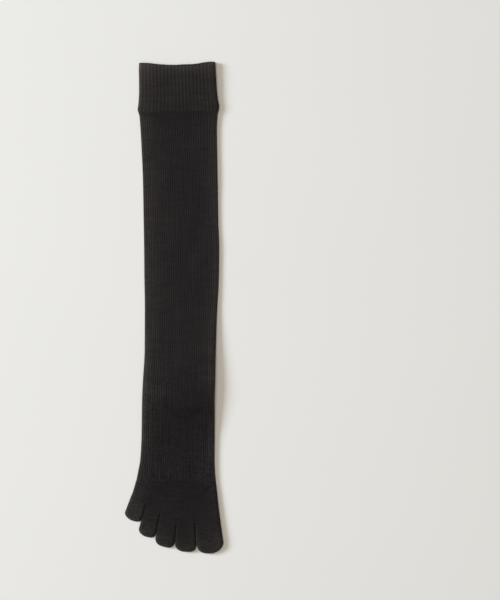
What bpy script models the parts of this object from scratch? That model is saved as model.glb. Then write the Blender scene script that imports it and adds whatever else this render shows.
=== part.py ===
"""A knee-high five-toe compression sock for the right foot, lying flat with its instep up.

Metres. +X runs across the sock towards its big toe, +Y towards the cuff, and +Z up from the surface
that the sock lies on. The origin is the middle of the sock's footprint, on that surface.
"""

import math
from collections import namedtuple

import bmesh
import bpy
from mathutils import Vector

# Lengths along the sock
CUFF_LENGTH = 0.0505
LEG_LENGTH = 0.2780
FOOT_LENGTH = 0.1405
TOE_LENGTH = 0.0300

# Widths of the flattened tube. The cuff is wider than the leg by its flare.
LEG_WIDTH = 0.0753
CUFF_FLARE = 0.0069
CUFF_WIDTH = LEG_WIDTH + CUFF_FLARE
BALL_WIDTH = 0.0912

# Heights of the flattened tube, from the surface to the edge of its upper layer
CUFF_HEIGHT = 0.0084
LEG_HEIGHT = 0.0066
HEEL_HEIGHT = 0.0096
BALL_HEIGHT = 0.0068
TOE_HEIGHT = 0.0070

# Knit walls
CUFF_WALL = 0.0018
KNIT_WALL = 0.0010

# The cuff's ribs, its dipped top edge, and the gaps between pieces
RIB_PITCH = 0.0037
RIB_DEPTH = 0.0005
TOP_EDGE_DIP = 0.0025
WEB_HOLLOW = 0.0012
TOE_SLIT = 0.0005
JOIN_GAP = 0.0003

# How full the folded sides are, as a share of half the height and at most as a share of the width,
# and how far the upper layer rises in the middle, as a share of the height
SIDE_FULLNESS = 1.4
SIDE_LIMIT = 0.45
CROWN = 0.06

# Points round a section: each folded side, the lower layer, the upper layer, and each rib
SIDE_SPANS = 5
LOWER_SPANS = 8
UPPER_SPANS = 12
SPANS_PER_TOE = 3
TOE_SIDE_SPANS = 4
TOE_LOWER_SPANS = 3
TOE_UPPER_SPANS = 5
POINTS_PER_RIB = 4
FINE_SPANS = 240

# The tables run from the cuff's top edge down to the toes. along is a share of the piece's length,
# and shift, a share of its width, moves the section towards the big toe.
CuffRow = namedtuple("CuffRow", "along width shift")
CUFF_ROWS = (
    CuffRow(0.02, 0.938, -0.041),
    CuffRow(0.35, 0.954, -0.038),
    CuffRow(0.70, 0.975, -0.029),
    CuffRow(0.88, 0.996, -0.025),
    CuffRow(0.93, 1.000, -0.027),
    CuffRow(0.99, 0.978, -0.032),
)

# swell is a share of the leg's height, and heel says how far the height has grown to the heel's.
LegRow = namedtuple("LegRow", "along width shift swell heel")
LEG_ROWS = (
    LegRow(0.00, 1.064, -0.034, 1.14, 0.00),
    LegRow(0.02, 1.041, -0.030, 1.12, 0.00),
    LegRow(0.07, 1.022, -0.026, 1.07, 0.00),
    LegRow(0.14, 1.011, -0.018, 1.02, 0.00),
    LegRow(0.25, 1.004, -0.006, 1.00, 0.00),
    LegRow(0.39, 1.000, 0.003, 1.00, 0.00),
    LegRow(0.52, 1.004, 0.011, 1.00, 0.00),
    LegRow(0.62, 0.995, 0.009, 1.00, 0.06),
    LegRow(0.72, 0.973, 0.003, 1.00, 0.25),
    LegRow(0.80, 0.964, -0.002, 1.00, 0.52),
    LegRow(0.87, 0.959, -0.007, 1.00, 0.80),
    LegRow(0.94, 0.961, -0.016, 1.00, 0.96),
    LegRow(1.00, 0.973, -0.024, 1.00, 1.00),
)

# spread and shift say how far the section has gone from the ankle's width and place to the ball's.
FootRow = namedtuple("FootRow", "along spread shift heel")
FOOT_ROWS = (
    FootRow(0.00, 0.00, 0.00, 1.00),
    FootRow(0.06, 0.01, 0.04, 0.95),
    FootRow(0.12, 0.02, 0.08, 0.84),
    FootRow(0.18, 0.02, 0.12, 0.68),
    FootRow(0.24, 0.03, 0.16, 0.50),
    FootRow(0.32, 0.03, 0.22, 0.30),
    FootRow(0.42, 0.04, 0.28, 0.12),
    FootRow(0.53, 0.06, 0.34, 0.03),
    FootRow(0.65, 0.18, 0.39, 0.00),
    FootRow(0.78, 0.43, 0.47, 0.00),
    FootRow(0.90, 0.69, 0.67, 0.00),
    FootRow(1.00, 1.00, 1.00, 0.00),
)
BALL_SHIFT = -0.056

# Webs between the toes, from the little toe's outer side to the big toe's: across is a share of the
# ball's width from its middle, reach a share of the foot's length, lean the edge's turn in degrees
# towards the big toe's side.
Web = namedtuple("Web", "across reach lean")
WEBS = (
    Web(-0.500, 0.808, -20.8),
    Web(-0.340, 0.859, -13.7),
    Web(-0.175, 0.941, -11.1),
    Web(0.008, 1.013, -5.1),
    Web(0.217, 1.001, 4.1),
    Web(0.500, 1.000, 6.3),
)

# Toe pockets in the same order. near_run and far_run are the straight runs of the two edges, as
# shares of the toe length, and tip is the round end's depth, as a share of half the toe's width.
Toe = namedtuple("Toe", "name near_run far_run tip")
TOES = (
    Toe("toe_little", 0.50, 0.47, 0.68),
    Toe("toe_fourth", 0.87, 0.60, 0.72),
    Toe("toe_third", 0.76, 0.55, 0.76),
    Toe("toe_second", 0.60, 0.66, 0.81),
    Toe("toe_big", 0.69, 0.70, 0.76),
)
TOE_STEPS = (0.0, 0.35, 0.70, 1.0)
TIP_ANGLES = (30.0, 54.0, 72.0)

# Soft hollows pressed into the upper layer. across is a share of half the width, along a share of
# the foot's length, the reaches likewise, depth a share of the heel's height, turn in degrees.
Dent = namedtuple("Dent", "across along reach_across reach_along depth turn")
DENTS = (
    Dent(0.15, 0.20, 0.45, 0.055, 0.08, -6.0),
    Dent(0.55, 0.15, 0.30, 0.050, 0.08, -48.0),
    Dent(0.62, 0.74, 0.20, 0.040, 0.06, -38.0),
    Dent(-0.30, 0.46, 0.60, 0.090, 0.03, 12.0),
)
WEB_HOLLOW_START = 0.80
WEB_HOLLOW_REACH = 0.035

Finish = namedtuple("Finish", "colour roughness")
CUFF_FINISH = Finish((0.027, 0.024, 0.023), 0.92)
LEG_FINISH = Finish((0.021, 0.018, 0.018), 0.90)
FOOT_FINISH = Finish((0.019, 0.016, 0.016), 0.92)
TOE_FINISH = Finish((0.026, 0.022, 0.021), 0.93)


def clear_scene():
    for thing in list(bpy.data.objects):
        bpy.data.objects.remove(thing, do_unlink=True)


def smooth_step(value, low, high):
    """0 below low, 1 above high, and a smooth rise between them."""
    share = min(max((value - low) / (high - low), 0.0), 1.0)
    return share * share * (3.0 - 2.0 * share)


def shares(spans, start=-1.0, end=1.0):
    """Even steps from start to end, without the last point."""
    return [start + (end - start) * step / spans for step in range(spans)]


def section(width, height, upper, lower, side_spans=SIDE_SPANS):
    """Points (x, z) round a flattened tube, seen from the toes, starting at its lower left.

    upper and lower hold the places along each flat layer, from -1 to 1, that carry a point.
    """
    half_height = height / 2
    side = min(half_height * SIDE_FULLNESS, width * SIDE_LIMIT)
    flat = width / 2 - side
    turns = [math.pi * (step / side_spans - 0.5) for step in range(1, side_spans)]
    points = [(flat * place, 0.0) for place in lower]
    points += [(flat + side * math.cos(turn), half_height * (1 + math.sin(turn))) for turn in turns]
    for place in reversed(upper):
        points.append((flat * place, height + CROWN * height * (1 - place * place)))
    points += [(-flat - side * math.cos(turn), half_height * (1 - math.sin(turn))) for turn in turns]
    return points


def evenly_spaced(points, count):
    """count points at equal distances round the closed line through points."""
    corners = [Vector(point) for point in points]
    corners.append(corners[0])
    lengths = [0.0]
    for start, end in zip(corners, corners[1:]):
        lengths.append(lengths[-1] + (end - start).length)
    spaced = []
    corner = 0
    for step in range(count):
        target = lengths[-1] * step / count
        while lengths[corner + 1] < target:
            corner += 1
        share = (target - lengths[corner]) / (lengths[corner + 1] - lengths[corner])
        spaced.append(corners[corner].lerp(corners[corner + 1], share))
    return spaced


def pushed_in(points, depths):
    """Each point of a closed line moved towards its inside by its own depth."""
    moved = []
    for index, (point, depth) in enumerate(zip(points, depths)):
        following = points[(index + 1) % len(points)]
        along = (following - points[index - 1]).normalized()
        moved.append(point + Vector((-along.y, along.x)) * depth)
    return moved


def loft(name, rings, closed_path=False, closed_tip=False):
    """One surface through rings of equal counts, each running the same way round."""
    shape = bmesh.new()
    rows = [[shape.verts.new(point) for point in ring] for ring in rings]
    following = rows[1:] + ([rows[0]] if closed_path else [])
    for row, below in zip(rows, following):
        for index in range(len(row)):
            after = (index + 1) % len(row)
            shape.faces.new((row[index], row[after], below[after], below[index]))
    if closed_tip:
        shape.faces.new(rows[-1])
    mesh = bpy.data.meshes.new(name)
    shape.to_mesh(mesh)
    shape.free()
    mesh.shade_smooth()
    return mesh


def add_piece(name, mesh, finish, sock, parts, wall=None):
    """The piece's object, with an even wall grown inwards where it is a single surface."""
    piece = bpy.data.objects.new(name, mesh)
    parts.objects.link(piece)
    piece.parent = sock
    if wall:
        shell = piece.modifiers.new("knit wall", "SOLIDIFY")
        shell.thickness = wall
        shell.offset = -1.0
        shell.use_even_offset = True
    material = bpy.data.materials.new(name + " knit")
    material.use_nodes = True
    surface = material.node_tree.nodes["Principled BSDF"]
    surface.inputs["Base Color"].default_value = (*finish.colour, 1.0)
    surface.inputs["Roughness"].default_value = finish.roughness
    surface.inputs["Metallic"].default_value = 0.0
    mesh.materials.append(material)
    return piece


def dent_depth(place_across, place_along):
    """How far the upper layer of the foot is pressed in at a place."""
    total = 0.0
    for dent in DENTS:
        turn = math.radians(dent.turn)
        half_ball = BALL_WIDTH / 2
        x = (place_across - dent.across) * half_ball
        y = (place_along - dent.along) * FOOT_LENGTH
        along_dent = (x * math.cos(turn) + y * math.sin(turn)) / (dent.reach_across * half_ball)
        over_dent = (y * math.cos(turn) - x * math.sin(turn)) / (dent.reach_along * FOOT_LENGTH)
        total += dent.depth * HEEL_HEIGHT * math.exp(-along_dent**2 - over_dent**2)
    return total


def cuff_mesh():
    """A doubled welt: ribbed outside, plain inside, with rounded edges at both ends."""
    rib_count = round((2 * CUFF_WIDTH + CUFF_HEIGHT) / RIB_PITCH)
    top = POINTS_PER_RIB // 2
    groove = ([0.0] * top + [RIB_DEPTH] * (POINTS_PER_RIB - top)) * rib_count
    fine = shares(FINE_SPANS) + [1.0]

    def ring(row, inset, along, grooved):
        width = row.width * CUFF_WIDTH
        outline = evenly_spaced(section(width, CUFF_HEIGHT, fine, fine), len(groove))
        depths = [inset + (cut if grooved else 0.0) for cut in groove]
        points = []
        dip_left = TOP_EDGE_DIP * (1 - smooth_step(along, 0.0, 1.0))
        for point in pushed_in(outline, depths):
            dip = dip_left * (1 - (2 * point.x / width) ** 2)
            x = point.x + row.shift * CUFF_WIDTH
            points.append((x, -along * CUFF_LENGTH - dip, point.y))
        return points

    first, last = CUFF_ROWS[0], CUFF_ROWS[-1]
    middle = CUFF_ROWS[len(CUFF_ROWS) // 2]
    rings = [ring(row, 0.0, row.along, True) for row in CUFF_ROWS]
    rings.append(ring(last, CUFF_WALL / 2, 1.0, False))
    rings += [ring(row, CUFF_WALL, row.along, False) for row in (last, middle, first)]
    rings.append(ring(first, CUFF_WALL / 2, 0.0, False))
    return loft("cuff", rings, closed_path=True)


def leg_mesh():
    lower = shares(LOWER_SPANS) + [1.0]
    upper = shares(UPPER_SPANS) + [1.0]
    start = CUFF_LENGTH + JOIN_GAP
    rings = []
    for row in LEG_ROWS:
        height = row.swell * (LEG_HEIGHT + (HEEL_HEIGHT - LEG_HEIGHT) * row.heel)
        y = -start - row.along * LEG_LENGTH
        outline = section(row.width * LEG_WIDTH, height, upper, lower)
        rings.append([(x + row.shift * LEG_WIDTH, y, z) for x, z in outline])
    return loft("leg", rings)


def reach_at(across):
    """The toe line's share of the foot's length, at a share of the ball's width from its middle."""
    for near, far in zip(WEBS, WEBS[1:]):
        if across <= far.across:
            share = max((across - near.across) / (far.across - near.across), 0.0)
            return near.reach + (far.reach - near.reach) * share
    return WEBS[-1].reach


def ball_middle():
    return BALL_SHIFT * BALL_WIDTH


def foot_start():
    return CUFF_LENGTH + LEG_LENGTH + 2 * JOIN_GAP


def foot_places():
    """Places along the flat layers that put points on every web of the toe line."""
    flat = BALL_WIDTH / 2 - BALL_HEIGHT / 2 * SIDE_FULLNESS
    stops = [-1.0] + [web.across * BALL_WIDTH / flat for web in WEBS[1:-1]] + [1.0]
    places = []
    for near, far in zip(stops, stops[1:]):
        places += shares(SPANS_PER_TOE, near, far)
    return places + [1.0]


def foot_mesh():
    ankle = LEG_ROWS[-1]
    ankle_width = ankle.width * LEG_WIDTH
    ankle_middle = ankle.shift * LEG_WIDTH
    places = foot_places()
    rings = []
    for row in FOOT_ROWS:
        width = ankle_width + (BALL_WIDTH - ankle_width) * row.spread
        middle = ankle_middle + (ball_middle() - ankle_middle) * row.shift
        height = BALL_HEIGHT + (HEEL_HEIGHT - BALL_HEIGHT) * row.heel
        web_depth = WEB_HOLLOW * smooth_step(row.along, WEB_HOLLOW_START, 1.0)
        ring = []
        for x, z in section(width, height, places, places):
            across = x / width
            if z > height / 2:
                upper_share = smooth_step(z, height / 2, height)
                hollow = dent_depth(2 * across, row.along)
                for web in WEBS[1:-1]:
                    hollow += web_depth * math.exp(-(((across - web.across) / WEB_HOLLOW_REACH) ** 2))
                z -= hollow * upper_share
            y = -foot_start() - FOOT_LENGTH * row.along * reach_at(across)
            ring.append((x + middle, y, z))
        rings.append(ring)
    return loft("foot", rings)


def web_point(web):
    x = ball_middle() + web.across * BALL_WIDTH
    return Vector((x, -foot_start() - FOOT_LENGTH * web.reach - JOIN_GAP))


def edge_direction(web):
    lean = math.radians(web.lean)
    return Vector((math.sin(lean), -math.cos(lean)))


def toe_ring(near, far, height, lift=0.0):
    """A flattened ring from the near edge to the far one, standing lift above the surface."""
    middle = (near + far) / 2
    across = (far - near).normalized()
    lower = shares(TOE_LOWER_SPANS) + [1.0]
    upper = shares(TOE_UPPER_SPANS) + [1.0]
    ring = []
    for x, z in section((far - near).length, height, upper, lower, TOE_SIDE_SPANS):
        place = middle + across * x
        ring.append((place.x, place.y, z + lift))
    return ring


def toe_mesh(toe, near_web, far_web):
    """A pocket from the toe line to a round tip, between the slits beside it."""
    base = (web_point(far_web) - web_point(near_web)).normalized()
    near_base = web_point(near_web) + base * TOE_SLIT / 2
    far_base = web_point(far_web) - base * TOE_SLIT / 2
    near_end = near_base + edge_direction(near_web) * toe.near_run * TOE_LENGTH
    far_end = far_base + edge_direction(far_web) * toe.far_run * TOE_LENGTH
    rings = []
    for step in TOE_STEPS:
        near = near_base.lerp(near_end, step)
        far = far_base.lerp(far_end, step)
        rings.append(toe_ring(near, far, TOE_HEIGHT))
    shoulder = (near_end + far_end) / 2
    half = (far_end - near_end) / 2
    forward = Vector((half.y, -half.x)).normalized()
    depth = toe.tip * half.length
    side = TOE_HEIGHT / 2 * SIDE_FULLNESS
    for angle in TIP_ANGLES:
        turn = math.radians(angle)
        middle = shoulder + forward * depth * math.sin(turn)
        left_over = depth * (1 - math.sin(turn))
        inside = max(1 - left_over / side, 0.0)
        fullness = math.sqrt(1 - inside * inside)
        reach = half * math.cos(turn)
        height = TOE_HEIGHT * fullness
        rings.append(toe_ring(middle - reach, middle + reach, height, (TOE_HEIGHT - height) / 2))
    return loft(toe.name, rings, closed_tip=True)


def rest_on_origin(sock, parts):
    """Moves the sock so that the origin is the middle of its footprint, at its lowest point."""
    pieces = [piece for piece in parts.objects if piece.type == "MESH"]
    corners = [vertex.co for piece in pieces for vertex in piece.data.vertices]
    low = [min(corner[axis] for corner in corners) for axis in range(3)]
    high = [max(corner[axis] for corner in corners) for axis in range(3)]
    sock.location = (-(low[0] + high[0]) / 2, -(low[1] + high[1]) / 2, -low[2])


def build_sock():
    clear_scene()
    parts = bpy.data.collections.new("compression sock")
    bpy.context.scene.collection.children.link(parts)
    sock = bpy.data.objects.new("sock", None)
    parts.objects.link(sock)
    add_piece("cuff", cuff_mesh(), CUFF_FINISH, sock, parts)
    add_piece("leg", leg_mesh(), LEG_FINISH, sock, parts, wall=KNIT_WALL)
    add_piece("foot", foot_mesh(), FOOT_FINISH, sock, parts, wall=KNIT_WALL)
    for toe, near_web, far_web in zip(TOES, WEBS, WEBS[1:]):
        add_piece(toe.name, toe_mesh(toe, near_web, far_web), TOE_FINISH, sock, parts, wall=KNIT_WALL)
    rest_on_origin(sock, parts)


build_sock()
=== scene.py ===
import math
from collections import namedtuple

import bpy
import numpy as np
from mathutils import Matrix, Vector


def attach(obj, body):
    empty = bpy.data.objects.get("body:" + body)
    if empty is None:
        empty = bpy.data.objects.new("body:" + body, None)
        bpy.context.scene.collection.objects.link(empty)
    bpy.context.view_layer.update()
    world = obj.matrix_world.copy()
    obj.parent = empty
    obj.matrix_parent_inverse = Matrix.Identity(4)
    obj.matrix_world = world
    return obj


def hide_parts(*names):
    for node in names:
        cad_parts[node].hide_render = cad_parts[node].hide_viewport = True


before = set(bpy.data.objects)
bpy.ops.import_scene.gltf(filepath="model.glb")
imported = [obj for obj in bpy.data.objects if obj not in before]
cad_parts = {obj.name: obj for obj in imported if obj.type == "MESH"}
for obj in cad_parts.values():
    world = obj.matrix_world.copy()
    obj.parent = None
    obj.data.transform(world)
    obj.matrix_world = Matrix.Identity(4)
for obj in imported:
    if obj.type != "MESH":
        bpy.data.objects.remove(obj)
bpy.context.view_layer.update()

# Lengths are in millimetres, in the row frame, unless a comment says otherwise. Meshes are in metres.
MM = 0.001

# The tube, from the cuff's top edge down to the ball: its near edge (little toe's side), its far edge
# (big toe's side) and the height of its upper layer above the surface that the sock lies on.
BodyRow = namedtuple("BodyRow", "y near far height")
BODY = (
    BodyRow(250.0, -35.6, 42.0, 6.8),
    BodyRow(241.6, -35.8, 42.4, 7.0),
    BodyRow(231.4, -35.6, 43.0, 6.9),
    BodyRow(221.2, -35.5, 43.6, 6.6),
    BodyRow(211.0, -35.9, 44.7, 6.2),
    BodyRow(204.9, -36.5, 45.8, 6.1),
    BodyRow(200.9, -37.1, 45.6, 6.1),
    BodyRow(198.4, -36.4, 44.7, 5.4),
    BodyRow(194.7, -35.4, 44.1, 4.9),
    BodyRow(180.5, -34.3, 43.5, 4.3),
    BodyRow(160.1, -33.2, 43.7, 3.9),
    BodyRow(129.6, -31.9, 44.3, 3.5),
    BodyRow(88.9, -31.2, 44.9, 3.4),
    BodyRow(58.3, -30.7, 45.8, 3.5),
    BodyRow(27.8, -30.4, 45.4, 3.7),
    BodyRow(-2.7, -29.9, 43.8, 4.2),
    BodyRow(-43.5, -30.0, 42.5, 7.4),
    BodyRow(-79.1, -31.9, 41.8, 10.3),
    BodyRow(-94.4, -32.5, 41.4, 9.8),
    BodyRow(-114.7, -32.9, 41.4, 7.3),
    BodyRow(-135.1, -33.4, 41.3, 4.4),
    BodyRow(-155.4, -34.7, 41.2, 3.8),
    BodyRow(-165.6, -36.6, 41.5, 3.8),
    BodyRow(-175.8, -38.7, 42.3, 4.1),
    BodyRow(-188.0, -42.1, 43.8, 4.5),
    BodyRow(-196.2, -45.7, 44.6, 4.7),
    BodyRow(-208.4, -50.4, 46.0, 4.9),
    BodyRow(-221.0, -55.1, 47.6, 5.2),
)

# Where one piece meets the next
CUFF_TOP = 250.0
CUFF_END = 199.5
LEG_END = -78.9
FOOT_LENGTH = 140.5

# Knit walls, and how full the folded sides are as a share of half the height
CUFF_WALL = 1.8
KNIT_WALL = 0.9
SIDE_FULLNESS = 1.4
# CROWN is how much higher the upper layer's middle is, as a share of the height. The crown, the waves and
# the hollows start where the layer has risen by a share of LIFT_STARTS from its folds.
CROWN = 0.06
LIFT_STARTS = 0.2

# The cuff's coarse ribs. Each has its own depth and tone, between these shares of the usual, and sways
# along its run. Its shoulders are soft, and a crease runs down its crest, a quarter of a rib from its
# start. Wales are the columns of stitches.
CUFF_RIBS = 45
CUFF_RIB_DEPTH = 0.25
CUFF_RIB_DEPTHS = (0.85, 1.15)
CUFF_RIB_TONES = (0.94, 1.06)
CUFF_WALES_PER_RIB = 4
RIB_SWAY = 0.03
RIB_SWAY_RUN = 6.0
RIB_SHOULDER = 0.55
RIB_CREASE = 0.15
RIB_CREASE_BREADTH = 0.06
QUARTER_RIB = 0.25
RANDOM_SEED = 7

# The fine ribs of the leg and the foot end above the ball, and from there the knit is plain and darker.
# COURSE is the height of one row of stitches.
FINE_RIBS = 69
FINE_RIB_DEPTH = 0.29
FINE_WALES_PER_RIB = 2
COURSE = 0.92
RIBS_END_Y = -176.3
RIBS_FADE = 2.0
PLAIN_TONE = 0.76
# The cuff's inside gets painted shade, at this share of its tone
INSIDE_PAINTED_SHADE = 0.6

# Points round and along
POINTS_PER_CUFF_RIB = 10
POINTS_PER_RIB = 6
CUFF_COLUMNS = CUFF_RIBS * POINTS_PER_CUFF_RIB
FINE_COLUMNS = FINE_RIBS * POINTS_PER_RIB
LAYER_COLUMNS = FINE_COLUMNS // 2
CUFF_ROWS = 56
EDGE_TURNS = 6
LEG_ROWS = 150
FOOT_ROWS = 153
TOE_ROWS = 30
TIP_ROWS = 16
INNER_ROWS = 24
TOE_INNER_ROWS = 10
INNER_TURNS = (0.26, 0.52, 0.78)
SECTION_SAMPLES = 2001
# The foot's side lines start this share of its length above it
SIDE_LINE_START = -0.1
SIDE_LINE_POINTS = 60
# Farther than any place on the sock, and a length too small to matter
FAR_AWAY = 1e9
TINY = 1e-9
# How far a face at an end point reaches on the maps, as a share of the last band
POLE_BAND = 0.25

# How far the cuff's mouth lies below its highest corner, and its hem below its end, across the sock
EdgeDip = namedtuple("EdgeDip", "x dip")
MOUTH = (
    EdgeDip(-35.0, 1.4),
    EdgeDip(-27.0, 1.7),
    EdgeDip(-21.0, 2.0),
    EdgeDip(-14.5, 2.4),
    EdgeDip(-6.0, 3.0),
    EdgeDip(2.0, 3.0),
    EdgeDip(10.0, 2.5),
    EdgeDip(18.0, 2.3),
    EdgeDip(26.0, 1.8),
    EdgeDip(30.0, 1.2),
    EdgeDip(34.0, 0.7),
    EdgeDip(38.0, 0.4),
)
MOUTH_REACH = 14.0
HEM = (
    EdgeDip(-35.0, 0.0),
    EdgeDip(-30.0, 1.7),
    EdgeDip(-24.0, 2.2),
    EdgeDip(-17.0, 2.0),
    EdgeDip(-10.0, 0.6),
    EdgeDip(-2.0, 0.0),
    EdgeDip(18.0, 0.2),
    EdgeDip(27.0, 0.9),
    EdgeDip(34.0, 1.0),
    EdgeDip(42.0, 0.0),
)
HEM_REACH = 8.0
# The mouth's upper layer is a little shorter than the lower one between its two corners
UPPER_LAYER_SHORTER = 0.7
SHORTER_FROM = (-28.0, -14.0)
SHORTER_TO = (18.0, 30.0)
LAYERS_MEET_Z = 3.6
LAYERS_MEET_REACH = 0.8

# Toe pockets. Webs run from the little toe's outer side to the big toe's: across is a share of the
# ball's width, reach a share of the foot's length, lean the edge's turn in degrees, slit the gap there.
Web = namedtuple("Web", "across reach lean slit")
WEBS = (
    Web(0.000, 0.808, -20.8, 0.0),
    Web(0.167, 0.868, -13.7, 0.10),
    Web(0.325, 0.941, -11.1, 0.16),
    Web(0.508, 1.013, -5.1, 0.12),
    Web(0.717, 1.001, 4.1, 0.25),
    Web(1.000, 1.000, 8.0, 0.0),
)

# near_run and far_run are the straight runs of the two edges, as shares of the toe length, and near_out
# is how far the near one swings out. tip is the round end's depth, as a share of half the toe's width,
# and a higher power makes its near or far corner squarer.
Toe = namedtuple("Toe", "node near_run far_run near_out tip near_power far_power")
TOES = (
    Toe("toe_little", 0.56, 0.45, 0.0, 0.63, 1.75, 2.4),
    Toe("toe_fourth", 0.83, 0.62, 1.3, 0.71, 1.95, 2.6),
    Toe("toe_third", 0.76, 0.58, 0.0, 0.75, 2.4, 2.9),
    Toe("toe_second", 0.60, 0.69, 0.0, 0.80, 2.3, 3.2),
    Toe("toe_big", 0.71, 0.65, 0.0, 0.77, 2.5, 1.95),
)
TOE_LENGTH = 30.0
# How round the folds are at the webs, at the slits further down and at the tips
WEB_RADIUS = 1.4
SLIT_RADIUS = 2.6
TIP_RADIUS = 4.4
SLIT_ROUNDS_OVER = 10.0
# Columns of points crowd towards the webs, from this share of the foot's length on
WEB_CROWDING = 0.6
CROWDING_STARTS = 0.6

# Soft hollows pressed into the upper layer, turned by so many degrees, and how much painted shade
# darkens the cloth in them
Dent = namedtuple("Dent", "x y reach breadth depth turn")
DENTS = (
    Dent(0.0, -101.0, 15.0, 5.5, 0.70, -38.0),
    Dent(21.0, -108.0, 12.0, 5.0, 0.95, 28.0),
    Dent(35.0, -184.5, 7.5, 2.2, 0.90, 40.0),
    Dent(-12.0, -150.0, 26.0, 9.0, 0.20, -12.0),
)
DENT_PAINTED_SHADE = 0.24

# Slow waves in the cloth
Wave = namedtuple("Wave", "across along height start")
WAVES = (
    Wave(61.0, 97.0, 0.16, 0.4),
    Wave(-43.0, 71.0, 0.12, 2.1),
    Wave(29.0, -133.0, 0.10, 4.0),
    Wave(88.0, 37.0, 0.07, 1.2),
)

# How many times paler the knit is down the sock, and how much paler towards its near and its far
# edge. This is mostly painted light and shade: a painted highlight on the mouth's rim, the painted shadow
# of the cuff's hem on the leg, painted shade at the ankle and painted light on the folds at both edges. A
# reach is a share of the width.
ToneAndPaintedLightRow = namedtuple("ToneAndPaintedLightRow", "y tone near near_reach far far_reach")
TONE_AND_PAINTED_LIGHT_ROWS = (
    # Painted highlight on the mouth's rim
    ToneAndPaintedLightRow(250.5, 1.20, 0.50, 0.11, 0.45, 0.10),
    ToneAndPaintedLightRow(249.3, 1.70, 0.65, 0.11, 0.45, 0.10),
    ToneAndPaintedLightRow(247.8, 2.45, 0.80, 0.11, 0.45, 0.10),
    ToneAndPaintedLightRow(246.0, 2.25, 0.82, 0.11, 0.45, 0.10),
    ToneAndPaintedLightRow(243.5, 1.95, 0.85, 0.11, 0.42, 0.10),
    ToneAndPaintedLightRow(240.0, 1.60, 0.85, 0.11, 0.40, 0.10),
    ToneAndPaintedLightRow(236.0, 1.32, 0.85, 0.10, 0.28, 0.08),
    ToneAndPaintedLightRow(231.0, 1.21, 0.90, 0.10, 0.25, 0.08),
    ToneAndPaintedLightRow(219.0, 1.17, 0.92, 0.10, 0.25, 0.08),
    ToneAndPaintedLightRow(209.0, 1.10, 1.00, 0.11, 0.22, 0.08),
    ToneAndPaintedLightRow(200.6, 1.06, 1.05, 0.11, 0.25, 0.08),
    # Painted shadow of the cuff's hem on the leg
    ToneAndPaintedLightRow(199.0, 0.78, 1.30, 0.11, 0.95, 0.09),
    ToneAndPaintedLightRow(196.0, 0.79, 1.40, 0.12, 1.00, 0.10),
    ToneAndPaintedLightRow(190.0, 0.87, 1.50, 0.13, 1.10, 0.11),
    ToneAndPaintedLightRow(165.0, 0.95, 1.48, 0.15, 1.12, 0.12),
    ToneAndPaintedLightRow(0.0, 0.98, 1.48, 0.16, 1.10, 0.12),
    ToneAndPaintedLightRow(-63.0, 0.99, 1.20, 0.15, 1.25, 0.11),
    ToneAndPaintedLightRow(-79.0, 0.94, 1.12, 0.17, 1.30, 0.09),
    # Painted shade at the ankle
    ToneAndPaintedLightRow(-90.0, 0.75, 1.60, 0.24, 1.35, 0.07),
    ToneAndPaintedLightRow(-115.0, 0.65, 2.00, 0.18, 1.90, 0.07),
    ToneAndPaintedLightRow(-135.0, 0.79, 2.05, 0.08, 1.30, 0.06),
    ToneAndPaintedLightRow(-150.0, 0.85, 1.80, 0.08, 1.15, 0.09),
    ToneAndPaintedLightRow(-166.0, 0.88, 1.55, 0.08, 1.15, 0.09),
    ToneAndPaintedLightRow(-181.0, 0.80, 1.50, 0.10, 1.00, 0.08),
    ToneAndPaintedLightRow(-192.0, 0.79, 2.00, 0.12, 0.95, 0.09),
    ToneAndPaintedLightRow(-206.0, 0.83, 1.60, 0.18, 0.95, 0.11),
    ToneAndPaintedLightRow(-222.0, 0.90, 1.60, 0.18, 0.90, 0.12),
    ToneAndPaintedLightRow(-250.0, 0.96, 1.60, 0.18, 0.90, 0.12),
)

# Soft patches where the knit is paler (a gain above 0) or darker than down the rest of the sock. Those
# beside the edges paint light on the folds, the darker one at the ankle paints shade, and the others
# give the knit its own paler tone
Patch = namedtuple("Patch", "x y across along gain")
PATCHES = (
    Patch(42.0, 211.0, 6.0, 10.0, 0.14),
    Patch(-30.0, 188.0, 9.0, 8.0, 0.15),
    Patch(40.0, 188.0, 7.0, 9.0, 0.28),
    Patch(39.0, -78.0, 3.2, 38.0, 0.42),
    Patch(-17.0, -86.0, 13.0, 8.0, 0.18),
    Patch(14.0, -108.0, 20.0, 10.0, -0.14),
    Patch(-28.0, -132.0, 5.0, 14.0, 0.15),
    Patch(-36.0, -183.0, 6.0, 9.0, 0.22),
    Patch(35.0, -189.0, 6.0, 9.0, 0.12),
    Patch(-38.5, -203.0, 6.0, 8.0, 0.42),
    Patch(-26.0, -225.0, 8.0, 9.0, 0.48),
    Patch(-10.0, -237.0, 7.0, 6.0, 0.42),
    Patch(10.0, -245.0, 9.0, 6.0, 0.24),
    Patch(33.0, -241.0, 11.0, 8.0, 0.22),
)

# How strongly the knit's fuzz speckles it down the sock
Fuzz = namedtuple("Fuzz", "y fuzz")
FUZZINESS = (
    Fuzz(250.0, 0.9),
    Fuzz(200.0, 0.9),
    Fuzz(198.0, 1.45),
    Fuzz(-30.0, 1.5),
    Fuzz(-100.0, 3.0),
    Fuzz(-160.0, 3.4),
    Fuzz(-215.0, 3.0),
    Fuzz(-250.0, 2.5),
)

# The toes' tips are paler, and painted shade darkens the knit along the slits between the toes
TIP_PALER = 0.50
TIP_PALE_REACH = 6.0
SLIT_PAINTED_SHADE = 0.55
SLIT_SHADE_REACH = 1.4


def smooth_step(value, low, high):
    """0 below low, 1 above high, and a smooth rise between them."""
    share = np.clip((value - low) / (high - low), 0.0, 1.0)
    return share * share * (3.0 - 2.0 * share)


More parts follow.
